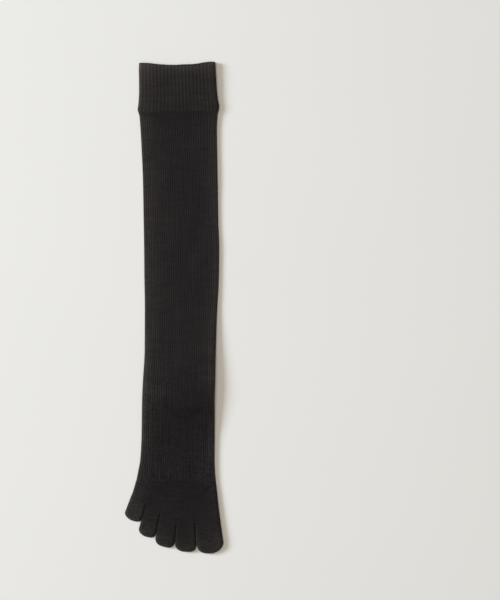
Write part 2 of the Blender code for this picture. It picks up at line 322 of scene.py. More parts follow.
def smooth_through(places, values, at):
    """A smooth curve through values at rising places, with no overshoot, read at other places."""
    steps = np.diff(values) / np.diff(places)
    before, after = steps[:-1], steps[1:]
    same_way = before * after > 0
    mean = 2 * before * after / np.where(same_way, before + after, 1.0)
    slopes = np.concatenate([steps[:1], np.where(same_way, mean, 0.0), steps[-1:]])
    index = np.clip(np.searchsorted(places, at) - 1, 0, len(places) - 2)
    span = places[index + 1] - places[index]
    share = np.clip((at - places[index]) / span, 0.0, 1.0)
    start, end = values[index], values[index + 1]
    rise = slopes[index] * span - (end - start)
    fall = (end - start) - slopes[index + 1] * span
    return start + (end - start) * share + share * (1 - share) * (rise * (1 - share) + fall * share)


def read_at(table, y, column):
    """One column of a table whose rows run down the sock, read at y."""
    places = np.array([row.y for row in reversed(table)])
    values = np.array([getattr(row, column) for row in reversed(table)])
    return smooth_through(places, values, np.asarray(y, float))


def body_at(y, column):
    """near, far or height of the tube at y."""
    return read_at(BODY, y, column)


def tone_and_painted_light(x, y):
    """How many times paler than the plain leg the knit is, painted light and shade included."""
    near, far = body_at(y, "near"), body_at(y, "far")
    share = np.clip((x - near) / (far - near), 0.0, 1.0)
    near_gain = read_at(TONE_AND_PAINTED_LIGHT_ROWS, y, "near") * np.exp(-share / read_at(TONE_AND_PAINTED_LIGHT_ROWS, y, "near_reach"))
    far_gain = read_at(TONE_AND_PAINTED_LIGHT_ROWS, y, "far") * np.exp((share - 1) / read_at(TONE_AND_PAINTED_LIGHT_ROWS, y, "far_reach"))
    # The table's tone with painted light on the folds at both edges, less the painted shade in the hollows
    tone = read_at(TONE_AND_PAINTED_LIGHT_ROWS, y, "tone") * (1 + near_gain + far_gain) * (1 - DENT_PAINTED_SHADE * dent_depth(x, y))
    for patch in PATCHES:
        away = ((x - patch.x) / patch.across) ** 2 + ((y - patch.y) / patch.along) ** 2
        tone = tone * (1 + patch.gain * np.exp(-away))
    return tone


def half_section(share, width, height):
    """Where a share of the way round one layer lies: its distance from the near edge, and how far it
    has risen from the fold, 0 at an edge and 1 on the flat."""
    tall = height / 2
    side = tall * SIDE_FULLNESS
    # The fold is a quarter of an ellipse, and this is how long that is
    fold = math.pi / 4 * (3 * (side + tall) - np.sqrt((3 * side + tall) * (side + 3 * tall)))
    whole = 2 * fold + width - 2 * side
    way = share * whole
    near_turn = np.clip(way / fold, 0, 1) * math.pi / 2
    far_turn = np.clip((whole - way) / fold, 0, 1) * math.pi / 2
    flat = np.clip(way - fold, 0, width - 2 * side)
    across = side * (1 - np.cos(near_turn)) + flat + side * np.cos(far_turn)
    return across, np.sin(near_turn) * np.sin(far_turn)


def round_the_tube(columns):
    """For each column round a tube: its share of the way over its layer, and +1 above or -1 below."""
    step = np.arange(columns)
    half = columns // 2
    share = np.where(step <= half, step / half, (columns - step) / half)
    return share, np.where(step <= half, 1.0, -1.0)


def dent_depth(x, y):
    """How deep the soft hollows are at each place."""
    total = np.zeros_like(x)
    for dent in DENTS:
        turn = math.radians(dent.turn)
        along = (x - dent.x) * math.cos(turn) + (y - dent.y) * math.sin(turn)
        over = (y - dent.y) * math.cos(turn) - (x - dent.x) * math.sin(turn)
        total += dent.depth * np.exp(-((along / dent.reach) ** 2) - (over / dent.breadth) ** 2)
    return total


def slow_waves(x, y):
    """How much the slow waves lift the cloth at each place."""
    total = np.zeros_like(x)
    for wave in WAVES:
        total += wave.height * np.sin(2 * math.pi * (x / wave.across + y / wave.along) + wave.start)
    return total


def layered(x, y, rise, side, height, flat_share):
    """Points of the upper (side +1) and lower (side -1) layers, resting on the surface."""
    crown = CROWN * height * (1 - flat_share**2)
    lift = (crown + slow_waves(x, y) - dent_depth(x, y)) * smooth_step(rise, LIFT_STARTS, 1.0)
    z = height / 2 * (1 + side * rise) + np.where(side > 0, lift, 0.0)
    return np.stack([x, y, z], axis=-1)


def normals_of(rings):
    """Outward directions on a grid of rings that run round a tube."""
    around = np.roll(rings, -1, axis=1) - np.roll(rings, 1, axis=1)
    along = np.gradient(rings, axis=0)
    outward = np.cross(along, around)
    length = np.linalg.norm(outward, axis=-1, keepdims=True)
    return outward / np.maximum(length, TINY)


def moved_out(rings, distance):
    """The rings moved outward by a distance, or inward where it is below 0."""
    return rings + normals_of(rings) * distance[..., None]


# A knit surface: rings of points, where a closed one's last ring joins its first, its places on the two
# maps, its tones (one of them with painted light and shade), which rings have a sharp edge, and the two
# end points of a surface with closed ends
Loft = namedtuple("Loft", "rings closed stitches_u stitches_v bake_v ribbing pale sharp poles")


def band_faces(count, columns, closed):
    """The faces between rings, band by band."""
    start = np.arange(columns)
    after = (start + 1) % columns
    faces = []
    for band in range(count if closed else count - 1):
        here = band * columns
        there = (band + 1) % count * columns
        faces += np.stack([here + start, there + start, there + after, here + after], axis=1).tolist()
    return faces


def pole_faces(count, columns):
    """The faces between the end rings and the two end points, which come after the rings' points."""
    start = np.arange(columns)
    after = (start + 1) % columns
    first_pole = np.full(columns, count * columns)
    last_pole = first_pole + 1
    last_ring = (count - 1) * columns
    at_first = np.stack([first_pole, start, after], axis=1).tolist()
    at_last = np.stack([last_ring + start, last_pole, last_ring + after], axis=1).tolist()
    return at_first + at_last


def band_map(left, right, bands, poles):
    """Map places of the corners of every face. left and right are the faces' sides across the map, and
    bands holds the top and bottom of each band. A face at an end point reaches past the last band."""
    one = np.ones(len(left))
    corners = []
    for top, bottom in bands:
        corners.append([left, one * top, left, one * bottom, right, one * bottom, right, one * top])
    if poles is not None:
        begin, finish = bands[0][0], bands[-1][1]
        past = (bands[-1][1] - bands[-1][0]) * POLE_BAND
        middle = (left + right) / 2
        corners.append([middle, one * (begin - past), left, one * begin, right, one * begin])
        corners.append([left, one * finish, middle, one * (finish + past), right, one * finish])
    return np.concatenate([np.stack(band, axis=1).ravel() for band in corners])


def add_tone(mesh, name, values, spare):
    """A value at each point, where the spare points after the rings' get the last ring point's."""
    tone = mesh.attributes.new(name, "FLOAT", "POINT")
    values = values.ravel()
    tone.data.foreach_set("value", np.concatenate([values, np.full(spare, values[-1])]))


def sharpen(mesh, columns, sharp_rings):
    """Marks the edges that run along the sharp rings."""
    ends = np.empty(2 * len(mesh.edges), dtype=int)
    mesh.edges.foreach_get("vertices", ends)
    ring = ends.reshape(-1, 2) // columns
    along_a_ring = ring[:, 0] == ring[:, 1]
    edge = mesh.attributes.new("sharp_edge", "BOOLEAN", "EDGE")
    edge.data.foreach_set("value", along_a_ring & np.isin(ring[:, 0], sharp_rings))


def add_knit(node, loft, material):
    """A mesh through rings of points, with its baking map, its stitch map and its three tones."""
    rings = loft.rings
    count, columns = rings.shape[:2]
    faces = band_faces(count, columns, loft.closed)
    points = rings.reshape(-1, 3)
    spare = 0
    if loft.poles is not None:
        points = np.concatenate([points, loft.poles])
        faces += pole_faces(count, columns)
        spare = len(loft.poles)
    mesh = bpy.data.meshes.new(node)
    mesh.from_pydata((points * MM).tolist(), [], faces)
    # The baking map starts a quarter of the way before the near fold, so its seam lies underneath
    bake_left = ((np.arange(columns) + columns // 4) % columns) / columns
    bake = band_map(bake_left, bake_left + 1 / columns, loft.bake_v, loft.poles)
    stitches = band_map(loft.stitches_u[:-1], loft.stitches_u[1:], loft.stitches_v, loft.poles)
    for name, places in (("OFBake", bake), ("Stitches", stitches)):
        mesh.uv_layers.new(name=name).data.foreach_set("uv", places)
    fuzz = read_at(FUZZINESS, rings[..., 1], "fuzz")
    for name, values in (("ribbing", loft.ribbing), ("pale", loft.pale), ("fuzz", fuzz)):
        add_tone(mesh, name, np.broadcast_to(values, (count, columns)), spare)
    mesh.shade_smooth()
    sharpen(mesh, columns, loft.sharp)
    mesh.materials.append(material)
    piece = bpy.data.objects.new(node + "_knit", mesh)
    bpy.context.scene.collection.objects.link(piece)
    return piece


class Tone:
    """One socket of a shader. Arithmetic on it adds the nodes that work it out."""

    def __init__(self, dye, socket):
        self.dye = dye
        self.socket = socket

    def math(self, operation, *others):
        values = dict(enumerate(others, start=1))
        return self.dye.node("ShaderNodeMath", {"operation": operation}, {0: self, **values})

    def __add__(self, other):
        return self.math("ADD", other)

    __radd__ = __add__

    def __sub__(self, other):
        return self.math("SUBTRACT", other)

    def __rsub__(self, other):
        return self.dye.node("ShaderNodeMath", {"operation": "SUBTRACT"}, {0: other, 1: self})

    def __mul__(self, other):
        return self.math("MULTIPLY", other)

    __rmul__ = __mul__

    def __pow__(self, other):
        return self.math("POWER", other)

    def __rpow__(self, other):
        return self.dye.node("ShaderNodeMath", {"operation": "POWER"}, {0: other, 1: self})

    def sine(self):
        return self.math("SINE")

    def fraction(self):
        return self.math("FRACT")

    def size(self):
        return self.math("ABSOLUTE")

    def stepped(self, low, high):
        """0 below low, 1 above high, and a smooth rise between them."""
        settings = {"interpolation_type": "SMOOTHSTEP"}
        sockets = {"Value": self, "From Min": low, "From Max": high}
        return self.dye.node("ShaderNodeMapRange", settings, sockets)


# The Mix node's colour sockets come after its sockets for numbers and vectors
MIX_SHARE = 0
MIX_FIRST = 6
MIX_SECOND = 7
MIX_RESULT = 2


class Dye:
    """A material, and the one method that adds nodes to it."""

    def __init__(self, name):
        self.material = bpy.data.materials.new(name)
        self.material.use_nodes = True
        self.tree = self.material.node_tree
        self.tree.nodes.clear()

    def node(self, kind, settings=None, sockets=None, output=0):
        """Adds a node, sets its settings first, then its sockets, and gives back one of its outputs."""
        made = self.tree.nodes.new(kind)
        for name, value in (settings or {}).items():
            setattr(made, name, value)
        for name, value in (sockets or {}).items():
            if isinstance(value, Tone):
                self.tree.links.new(value.socket, made.inputs[name])
            else:
                made.inputs[name].default_value = value
        return Tone(self, made.outputs[output]) if len(made.outputs) else made

    def mixed(self, share, first, second):
        """A colour between two."""
        sockets = {MIX_SHARE: share, MIX_FIRST: (*first, 1.0), MIX_SECOND: (*second, 1.0)}
        return self.node("ShaderNodeMix", {"data_type": "RGBA"}, sockets, MIX_RESULT)

    def scaled(self, colour, by):
        """A colour times a number."""
        return self.node("ShaderNodeVectorMath", {"operation": "SCALE"}, {0: colour, "Scale": by})

    def stretched(self, place, by):
        """A place times three numbers, so that noise read there is stretched the other way."""
        return self.node("ShaderNodeVectorMath", {"operation": "MULTIPLY"}, {0: place, 1: by})

    def noise(self, place, size, detail=2.0, roughness=0.5):
        """Noise from 0 to 1 whose patches are about size millimetres across."""
        sockets = {"Vector": place, "Scale": 1 / (size * MM), "Detail": detail, "Roughness": roughness}
        return self.node("ShaderNodeTexNoise", {}, sockets)


# A knit's colour, its paler, warmer colour where painted light and its own paler tone lie, and how dark
# the painted shade in the grooves between its ribs is, where 1 is no darker than the rest
KnitLook = namedtuple("KnitLook", "colour pale_colour groove_tone wales_per_rib")
PALE_AND_PAINTED_LIGHT_COLOUR = (0.0154, 0.0124, 0.0122)
CUFF_LOOK = KnitLook((0.0151, 0.0132, 0.0130), (0.0160, 0.0132, 0.0121), 0.90, CUFF_WALES_PER_RIB)
LEG_LOOK = KnitLook((0.0138, 0.0116, 0.0121), PALE_AND_PAINTED_LIGHT_COLOUR, 0.68, FINE_WALES_PER_RIB)
FOOT_LOOK = KnitLook((0.0137, 0.0117, 0.0122), PALE_AND_PAINTED_LIGHT_COLOUR, 0.68, FINE_WALES_PER_RIB)
TOE_LOOK = KnitLook((0.0151, 0.0125, 0.0120), PALE_AND_PAINTED_LIGHT_COLOUR, 0.68, FINE_WALES_PER_RIB)
# Over this range of tone, painted light included, the colour goes from the plain one to the paler one
PALE_RANGE = (0.9, 2.2)
# Over this range of a rib's rise the painted shade in its groove fades out
GROOVE_RANGE = (0.15, 0.85)
# A stitch is one loop of yarn, whose sides lag behind its middle by this share of a course
LOOP_LAG = 0.45
LOOP_FLOOR = 0.0001
LOOP_POWER = 0.5
# Painted shade in the gaps between the loops: a gap has the second number's tone, and a loop's middle is
# lighter by the first
STITCH_TONE = 0.35
STITCH_GAP_SHADE = 0.78
STITCH_DEPTH = 0.14
FUZZ_DEPTH = 0.14
KNIT_ROUGHNESS = 0.9
FUZZ_ROUGHNESS = 0.15
SHEEN_WEIGHT = 0.10
SHEEN_ROUGHNESS = 0.55
SHEEN_TINT = (1.0, 0.93, 0.90, 1.0)
SPECULAR_LEVEL = 0.12
# Noise that mottles the knit, with sizes in millimetres: fuzz, patches, bands across, streaks down the
# ribs, and specks of lint
NOISE_MIDDLE = 0.5
SPECKLE_SIZE = 1.7
SPECKLE_DETAIL = 3.0
SPECKLE_ROUGHNESS = 0.7
PATCH_TONE = 0.3
PATCH_SIZE = 14.0
BAND_TONE = 0.8
BAND_SIZE = 2.8
BAND_STRETCH = (0.16, 1.0, 0.16)
STREAK_TONE = 0.4
STREAK_SIZE = 1.8
STREAK_STRETCH = (1.0, 0.06, 0.10)
LINT_TONE = 0.6
LINT_SIZE = 0.8
LINT_DETAIL = 1.0
LINT_RANGE = (0.76, 0.82)


def knit_dye(name, look):
    """A knit's material: stitches and ribs, painted light and shade, and mottled, fuzzy yarn."""
    dye = Dye(name)
    stitches = dye.node("ShaderNodeUVMap", {"uv_map": "Stitches"})
    rib_place = dye.node("ShaderNodeSeparateXYZ", {}, {"Vector": stitches}, "X")
    course_place = dye.node("ShaderNodeSeparateXYZ", {}, {"Vector": stitches}, "Y")
    ribbing = dye.node("ShaderNodeAttribute", {"attribute_name": "ribbing"}, {}, "Fac")
    pale = dye.node("ShaderNodeAttribute", {"attribute_name": "pale"}, {}, "Fac")
    fuzz = dye.node("ShaderNodeAttribute", {"attribute_name": "fuzz"}, {}, "Fac")
    place = dye.node("ShaderNodeTexCoord", {}, {}, "Object")

    crest = (rib_place.fraction() * math.pi).sine()
    # Painted shade in the grooves between the ribs
    groove = (1 - crest.stepped(*GROOVE_RANGE)) * ribbing
    wale = ((rib_place * look.wales_per_rib).fraction() * 2 - 1).size()
    leg_of_loop = (wale * math.pi).sine()
    course = ((course_place + wale * LOOP_LAG).fraction() * math.pi).sine()
    stitch = (leg_of_loop * course + LOOP_FLOOR) ** LOOP_POWER

    speckle = dye.noise(place, SPECKLE_SIZE, SPECKLE_DETAIL, SPECKLE_ROUGHNESS) - NOISE_MIDDLE
    patches = dye.noise(place, PATCH_SIZE) - NOISE_MIDDLE
    bands = dye.noise(dye.stretched(place, BAND_STRETCH), BAND_SIZE) - NOISE_MIDDLE
    streaks = dye.noise(dye.stretched(place, STREAK_STRETCH), STREAK_SIZE) - NOISE_MIDDLE
    lint = dye.noise(place, LINT_SIZE, LINT_DETAIL).stepped(*LINT_RANGE)
    mottle = (speckle + streaks * ribbing * STREAK_TONE) * fuzz + patches * PATCH_TONE + bands * BAND_TONE
    # Painted shade in the rib grooves and in the gaps between the stitch loops
    painted_relief_shade = (1 - groove * (1 - look.groove_tone)) * (stitch * STITCH_TONE + STITCH_GAP_SHADE)
    # The mottled yarn's tone with its painted light and shade, and pale specks of lint
    tone = (mottle + 1) * painted_relief_shade * pale + lint * LINT_TONE
    dyed = dye.mixed(pale.stepped(*PALE_RANGE), look.colour, look.pale_colour)

    height = stitch * STITCH_DEPTH + speckle * FUZZ_DEPTH
    bump = dye.node("ShaderNodeBump", {}, {"Height": height, "Distance": MM, "Strength": 1.0})
    surface = dye.node("ShaderNodeBsdfPrincipled", {}, {
        "Base Color": dye.scaled(dyed, tone),
        "Roughness": speckle * FUZZ_ROUGHNESS + KNIT_ROUGHNESS,
        "Normal": bump,
        "Specular IOR Level": SPECULAR_LEVEL,
        "Sheen Weight": SHEEN_WEIGHT,
        "Sheen Roughness": SHEEN_ROUGHNESS,
        "Sheen Tint": SHEEN_TINT,
    })
    dye.node("ShaderNodeOutputMaterial", {}, {"Surface": surface})
    return dye.material


CLOSING_BAND = 0.01


def band_pairs(values, closed):
    """Start and end of each band between rings. A closed loft's last band gets hardly any length."""
    pairs = list(zip(values[:-1], values[1:]))
    if closed:
        pairs.append((values[-1], values[-1] + CLOSING_BAND))
    return pairs


# Shares of the baking map's height, from the bottom up, for a tube and for a toe
BAKE_MARGIN = 0.004
BAKE_INNER_TOP = 0.06
TOE_BAKE_INNER = (0.02, 0.06)
TOE_BAKE_RIM = (0.065, 0.07)
TOE_BAKE_OUTER = (0.08, 0.98)


def tube_bake_bands(outer_count, inner_count):
    """Baking heights of a tube: the outside fills most of the map, and the inside a strip below it."""
    outer = np.linspace(1 - BAKE_MARGIN, BAKE_INNER_TOP + BAKE_MARGIN, outer_count)
    inner = np.linspace(BAKE_INNER_TOP - BAKE_MARGIN, 2 * BAKE_MARGIN, inner_count)
    outer_end = [(BAKE_INNER_TOP, BAKE_INNER_TOP - BAKE_MARGIN / 2)]
    inner_end = [(BAKE_MARGIN, BAKE_MARGIN / 2)]
    return band_pairs(outer, False) + outer_end + band_pairs(inner, False) + inner_end


def leg_base(y, columns):
    """Rings of the plain tube at each y, before its ribs."""
    share, side = round_the_tube(columns)
    y = y[:, None]
    near, far, height = (body_at(y, column) for column in ("near", "far", "height"))
    across, rise = half_section(share[None, :], far - near, height)
    width = far - near
    flat_share = 2 * across / width - 1
    return layered(near + across, y + 0 * across, rise, side[None, :], height, flat_share)


def fine_rib_cut():
    """How deep the cloth lies below a fine rib's crest, column by column."""
    phase = (np.arange(FINE_COLUMNS) % POINTS_PER_RIB) / POINTS_PER_RIB
    crest = (1 - np.cos(2 * math.pi * phase)) / 2
    return FINE_RIB_DEPTH * (1 - crest)


def lined(outer, inner_base):
    """The outside's rings and then the inside's. These run the other way, so their outward points in."""
    inner = moved_out(inner_base, np.full(inner_base.shape[:2], KNIT_WALL))
    return np.concatenate([outer, inner])


def make_leg(material):
    """The leg: a fine-ribbed tube and its inside."""
    y = np.linspace(CUFF_END, LEG_END, LEG_ROWS)
    inner_y = np.linspace(LEG_END, CUFF_END, INNER_ROWS)
    outer = moved_out(leg_base(y, FINE_COLUMNS), -fine_rib_cut())
    rings = lined(outer, leg_base(inner_y, FINE_COLUMNS))
    course = np.concatenate([y, inner_y]) / COURSE
    ribbing = np.concatenate([np.ones(LEG_ROWS), np.zeros(INNER_ROWS)])[:, None]
    loft = Loft(
        rings=rings,
        closed=True,
        stitches_u=np.arange(FINE_COLUMNS + 1) / POINTS_PER_RIB,
        stitches_v=band_pairs(course, True),
        bake_v=tube_bake_bands(LEG_ROWS, INNER_ROWS),
        ribbing=ribbing,
        pale=tone_and_painted_light(rings[..., 0], rings[..., 1]),
        sharp=[0, LEG_ROWS - 1, LEG_ROWS, len(rings) - 1],
        poles=None,
    )
    return add_knit("leg", loft, material)


def level_normals(y, columns):
    """Outward directions across the tube, with no part along it."""
    rings = leg_base(y, columns)
    around = np.roll(rings, -1, axis=1) - np.roll(rings, 1, axis=1)
    outward = np.stack([-around[..., 2], np.zeros_like(around[..., 0]), around[..., 0]], axis=-1)
    return outward / np.linalg.norm(outward, axis=-1, keepdims=True)


def edge_dip(table, rings):
    """How far one of the cuff's edges dips at each place across the sock."""
    return np.interp(rings[..., 0], [spot.x for spot in table], [spot.dip for spot in table])


def mouth_dip(rings):
    """How far the cuff's mouth lies below its highest corner."""
    x, z = rings[..., 0], rings[..., 2]
    upper = smooth_step(z, LAYERS_MEET_Z - LAYERS_MEET_REACH, LAYERS_MEET_Z + LAYERS_MEET_REACH)
    between = smooth_step(x, *SHORTER_FROM) * (1 - smooth_step(x, *SHORTER_TO))
    return edge_dip(MOUTH, rings) + UPPER_LAYER_SHORTER * between * upper


def cuff_crest(y, phase, sway):
    """1 on each rib's crest and 0 in the groove, at each place down and round the cuff."""
    place = phase[None, :] + RIB_SWAY * np.sin(y[:, None] / RIB_SWAY_RUN + sway[None, :])
    crest = smooth_step(np.sin(2 * math.pi * place), -RIB_SHOULDER, RIB_SHOULDER)
    return crest - RIB_CREASE * np.exp(-(((place - QUARTER_RIB) / RIB_CREASE_BREADTH) ** 2))


def make_cuff(material):
    """The cuff: a coarse-ribbed tube with a thicker wall, rounded at its mouth and its hem."""
    random = np.random.default_rng(RANDOM_SEED)
    rib = np.arange(CUFF_COLUMNS) // POINTS_PER_CUFF_RIB
    phase = (np.arange(CUFF_COLUMNS) % POINTS_PER_CUFF_RIB) / POINTS_PER_CUFF_RIB
    rib_depth = CUFF_RIB_DEPTH * random.uniform(*CUFF_RIB_DEPTHS, CUFF_RIBS)[rib]
    rib_tone = random.uniform(*CUFF_RIB_TONES, CUFF_RIBS)[rib]
    sway = random.uniform(0, 2 * math.pi, CUFF_RIBS)[rib]

    # The wall runs down the outside, round the hem, up the inside and round the mouth
    half_wall = CUFF_WALL / 2
    top, end = CUFF_TOP - half_wall, CUFF_END + half_wall
    turns = np.linspace(0, math.pi, EDGE_TURNS)[1:-1]
    y = np.concatenate([
        np.linspace(top, end, CUFF_ROWS),
        end - half_wall * np.sin(turns),
        np.linspace(end, top, INNER_ROWS),
        top + half_wall * np.sin(turns),
    ])
    inset = np.concatenate([
        np.zeros(CUFF_ROWS),
        half_wall * (1 - np.cos(turns)),
        np.full(INNER_ROWS, CUFF_WALL),
        half_wall * (1 + np.cos(turns)),
    ])
    ribbed = np.concatenate([
        np.ones(CUFF_ROWS),
        (1 + np.cos(turns)) / 2,
        np.zeros(INNER_ROWS),
        (1 - np.cos(turns)) / 2,
    ])
    groove = rib_depth[None, :] * (1 - cuff_crest(y, phase, sway))
    cut = inset[:, None] + ribbed[:, None] * groove
    rings = leg_base(y, CUFF_COLUMNS) - level_normals(y, CUFF_COLUMNS) * cut[..., None]
    pale = tone_and_painted_light(rings[..., 0], rings[..., 1]) * rib_tone
    rings[..., 1] -= mouth_dip(rings) * smooth_step(y, CUFF_TOP - MOUTH_REACH, CUFF_TOP)[:, None]
    rings[..., 1] -= edge_dip(HEM, rings) * (1 - smooth_step(y, CUFF_END, CUFF_END + HEM_REACH))[:, None]
    outside = (inset < half_wall)[:, None]
    loft = Loft(
        rings=rings,
        closed=True,
        stitches_u=np.arange(CUFF_COLUMNS + 1) / POINTS_PER_CUFF_RIB + QUARTER_RIB,
        stitches_v=band_pairs(y / COURSE, True),
        bake_v=tube_bake_bands(CUFF_ROWS, len(y) - CUFF_ROWS),
        ribbing=ribbed[:, None] * outside,
        # Painted shade on the cuff's inside
        pale=np.where(outside, pale, pale * INSIDE_PAINTED_SHADE),
        sharp=[],
        poles=None,
    )
    return add_knit("cuff", loft, material)


def toe_line(share):
    """The toe line's share of the foot's length, at a share of the ball's width."""
    return np.interp(share, [web.across for web in WEBS], [web.reach for web in WEBS])


def foot_y(row, reach):
    """y on the foot, where row runs from 0 at the leg to 1 at the toe line."""
    return LEG_END - FOOT_LENGTH * row * reach


def foot_plan(row, across):
    """Where a place on the foot lies, seen from above."""
    near = body_at(foot_y(row, WEBS[0].reach), "near")
    far = body_at(foot_y(row, WEBS[-1].reach), "far")
    return near + (far - near) * across, foot_y(row, toe_line(across))


def web_point(web):
    """Where a web lies, seen from above."""
    x, y = foot_plan(np.array(1.0), np.array(web.across))
    return np.array([float(x), float(y)])


def lean_of(web):
    """The direction in which the slit at a web runs."""
    lean = math.radians(web.lean)
    return np.array([math.sin(lean), -math.cos(lean)])


def tip_point(toe, near_end, far_end, turn):
    """A place on a toe's round end: turn runs from 0 at the near edge to pi at the far edge."""
    half = (far_end - near_end) / 2
    forward = np.array([half[1], -half[0]])
    power = toe.near_power if turn < math.pi / 2 else toe.far_power
    over = math.copysign(abs(math.cos(turn)) ** (2 / power), math.cos(turn))
    return (near_end + far_end) / 2 - half * over + forward * toe.tip * abs(math.sin(turn)) ** (2 / power)


def toe_edges(index):
    """The two straight edges of a toe pocket and its round tip, each as points seen from above."""
    toe, near_web, far_web = TOES[index], WEBS[index], WEBS[index + 1]
    near_base, far_base = web_point(near_web), web_point(far_web)
    base = (far_base - near_base) / np.linalg.norm(far_base - near_base)
    near_in, far_in = near_web.slit / 2 - toe.near_out, far_web.slit / 2
    near_end = near_base + base * near_in + lean_of(near_web) * toe.near_run * TOE_LENGTH
    far_end = far_base - base * far_in + lean_of(far_web) * toe.far_run * TOE_LENGTH
    turns = np.linspace(0, math.pi, 2 * TIP_ROWS + 1)
    tip = np.array([tip_point(toe, near_end, far_end, turn) for turn in turns])
    return np.array([near_base, near_end]), np.array([far_base, far_end]), tip


def distance_to(line, x, y):
    """Distance from each place to a line through points, seen from above."""
    best = np.full(x.shape, FAR_AWAY)
    for start, end in zip(line[:-1], line[1:]):
        run = end - start
        share = ((x - start[0]) * run[0] + (y - start[1]) * run[1]) / (run @ run)
        share = np.clip(share, 0, 1)
        best = np.minimum(best, np.hypot(x - start[0] - share * run[0], y - start[1] - share * run[1]))
    return best


def rounded(distance, radius):
    """How far cloth has risen from a fold: 0 on the fold and 1 past the radius."""
    share = np.clip(1 - distance / radius, 0, 1)
    return np.sqrt(np.maximum(1 - share * share, 0))


def slit_radius(x, y):
    """The folds between toes are tight at the webs and fuller further down."""
    nearest = np.full(x.shape, FAR_AWAY)
    for web in WEBS[1:-1]:
        spot = web_point(web)
        nearest = np.minimum(nearest, np.hypot(x - spot[0], y - spot[1]))
    return WEB_RADIUS + (SLIT_RADIUS - WEB_RADIUS) * smooth_step(nearest, 0, SLIT_ROUNDS_OVER)


def side_lines():
    """The sock's two outer edges along the foot and the outer toes."""
    rows = np.linspace(SIDE_LINE_START, 1.0, SIDE_LINE_POINTS)
    near_y = foot_y(rows, WEBS[0].reach)
    far_y = foot_y(rows, WEBS[-1].reach)
    near = np.stack([body_at(near_y, "near"), near_y], axis=1)
    far = np.stack([body_at(far_y, "far"), far_y], axis=1)
    outer_near, outer_far = toe_edges(0)[0], toe_edges(len(TOES) - 1)[1]
    return np.concatenate([near, outer_near[1:]]), np.concatenate([far, outer_far[1:]])


def foot_columns():
    """Columns of a layer that fall in each toe, and where each column meets the toe line."""
    near, far = web_point(WEBS[0]), web_point(WEBS[-1])
    width = far[0] - near[0]
    shares = np.linspace(0, 1, SECTION_SAMPLES)
    across = half_section(shares, width, foot_height(near[1]))[0] / width
    webs = np.array([web.across for web in WEBS])
    stops = np.interp(webs, across, shares)
    counts = np.round(np.diff(stops) * LAYER_COLUMNS).astype(int)
    counts[-1] += LAYER_COLUMNS - counts.sum()
    places = [0.0]
    for index, count in enumerate(counts):
        step = np.arange(1, count + 1) / count
        if index == 0:
            step = step + WEB_CROWDING * np.sin(math.pi * step) / math.pi
        elif index == len(counts) - 1:
            step = step - WEB_CROWDING * np.sin(math.pi * step) / math.pi
        else:
            step = step - WEB_CROWDING * np.sin(2 * math.pi * step) / (2 * math.pi)
        places += list(stops[index] + (stops[index + 1] - stops[index]) * step)
    at_toes = np.interp(places, shares, across)
    at_toes[np.concatenate([[0], np.cumsum(counts)])] = webs
    return counts, at_toes


def foot_height(y):
    """How high the upper layer lies at y."""
    return body_at(y, "height")


def slit_distance(x, y):
    """Distance from each place to the nearest edge between two toes."""
    nearest = np.full(x.shape, FAR_AWAY)
    for index in range(len(TOES)):
        near_edge, far_edge = toe_edges(index)[:2]
        if index > 0:
            nearest = np.minimum(nearest, distance_to(near_edge, x, y))
        if index < len(TOES) - 1:
            nearest = np.minimum(nearest, distance_to(far_edge, x, y))
    return nearest


def foot_ribbing(y):
    """1 where the foot is ribbed, and 0 from the ball to the toes."""
    return smooth_step(y, RIBS_END_Y - RIBS_FADE / 2, RIBS_END_Y + RIBS_FADE / 2)


def foot_tone_and_painted_light(x, y):
    """The foot's and toes' tone, with painted shade along the slits and the plain knit past the ribs."""
    # Painted shade along the slits between the toes
    slit_shade = SLIT_PAINTED_SHADE * np.exp(-((slit_distance(x, y) / SLIT_SHADE_REACH) ** 2))
    return tone_and_painted_light(x, y) * (1 - slit_shade) * (PLAIN_TONE + (1 - PLAIN_TONE) * foot_ribbing(y))


def foot_rise(x, y):
    """How far the foot's layers have risen from the side folds and from the webs."""
    near, far = side_lines()
    side = foot_height(y) / 2 * SIDE_FULLNESS
    rise = rounded(distance_to(near, x, y), side) * rounded(distance_to(far, x, y), side)
    return rise * rounded(slit_distance(x, y), slit_radius(x, y))


def toe_rise(index, x, y):
    """How far a toe pocket's layers have risen from its two edges and its tip."""
    near, far = side_lines()
    near_edge, far_edge, tip = toe_edges(index)
    side = foot_height(y) / 2 * SIDE_FULLNESS
    tight = slit_radius(x, y)
    first, last = index == 0, index == len(TOES) - 1
    rise = rounded(distance_to(near if first else near_edge, x, y), side if first else tight)
    rise = rise * rounded(distance_to(far if last else far_edge, x, y), side if last else tight)
    return rise * rounded(distance_to(tip, x, y), TIP_RADIUS)


def both_layers(x, y, rise, flat_share):
    """Rings that run over the upper layer and back under the lower one."""
    height = foot_height(y)
    upper = layered(x, y, rise, np.ones_like(x), height, flat_share)
    lower = layered(x, y, rise, -np.ones_like(x), height, flat_share)
    return np.concatenate([upper, lower[:, -2:0:-1]], axis=1)


def foot_base(rows):
    """Rings of the foot at each row, before its ribs."""
    at_toes = foot_columns()[1]
    rows = rows[:, None]
    near_y, far_y = foot_y(rows, WEBS[0].reach), foot_y(rows, WEBS[-1].reach)
    width = body_at(far_y, "far") - body_at(near_y, "near")
    height = foot_height((near_y + far_y) / 2)
    across = half_section(np.arange(LAYER_COLUMNS + 1) / LAYER_COLUMNS, width, height)[0] / width
    across = across + (at_toes - across) * smooth_step(rows, CROWDING_STARTS, 1.0)
    x, y = foot_plan(rows, across)
    return both_layers(x, y, foot_rise(x, y), 2 * across - 1)


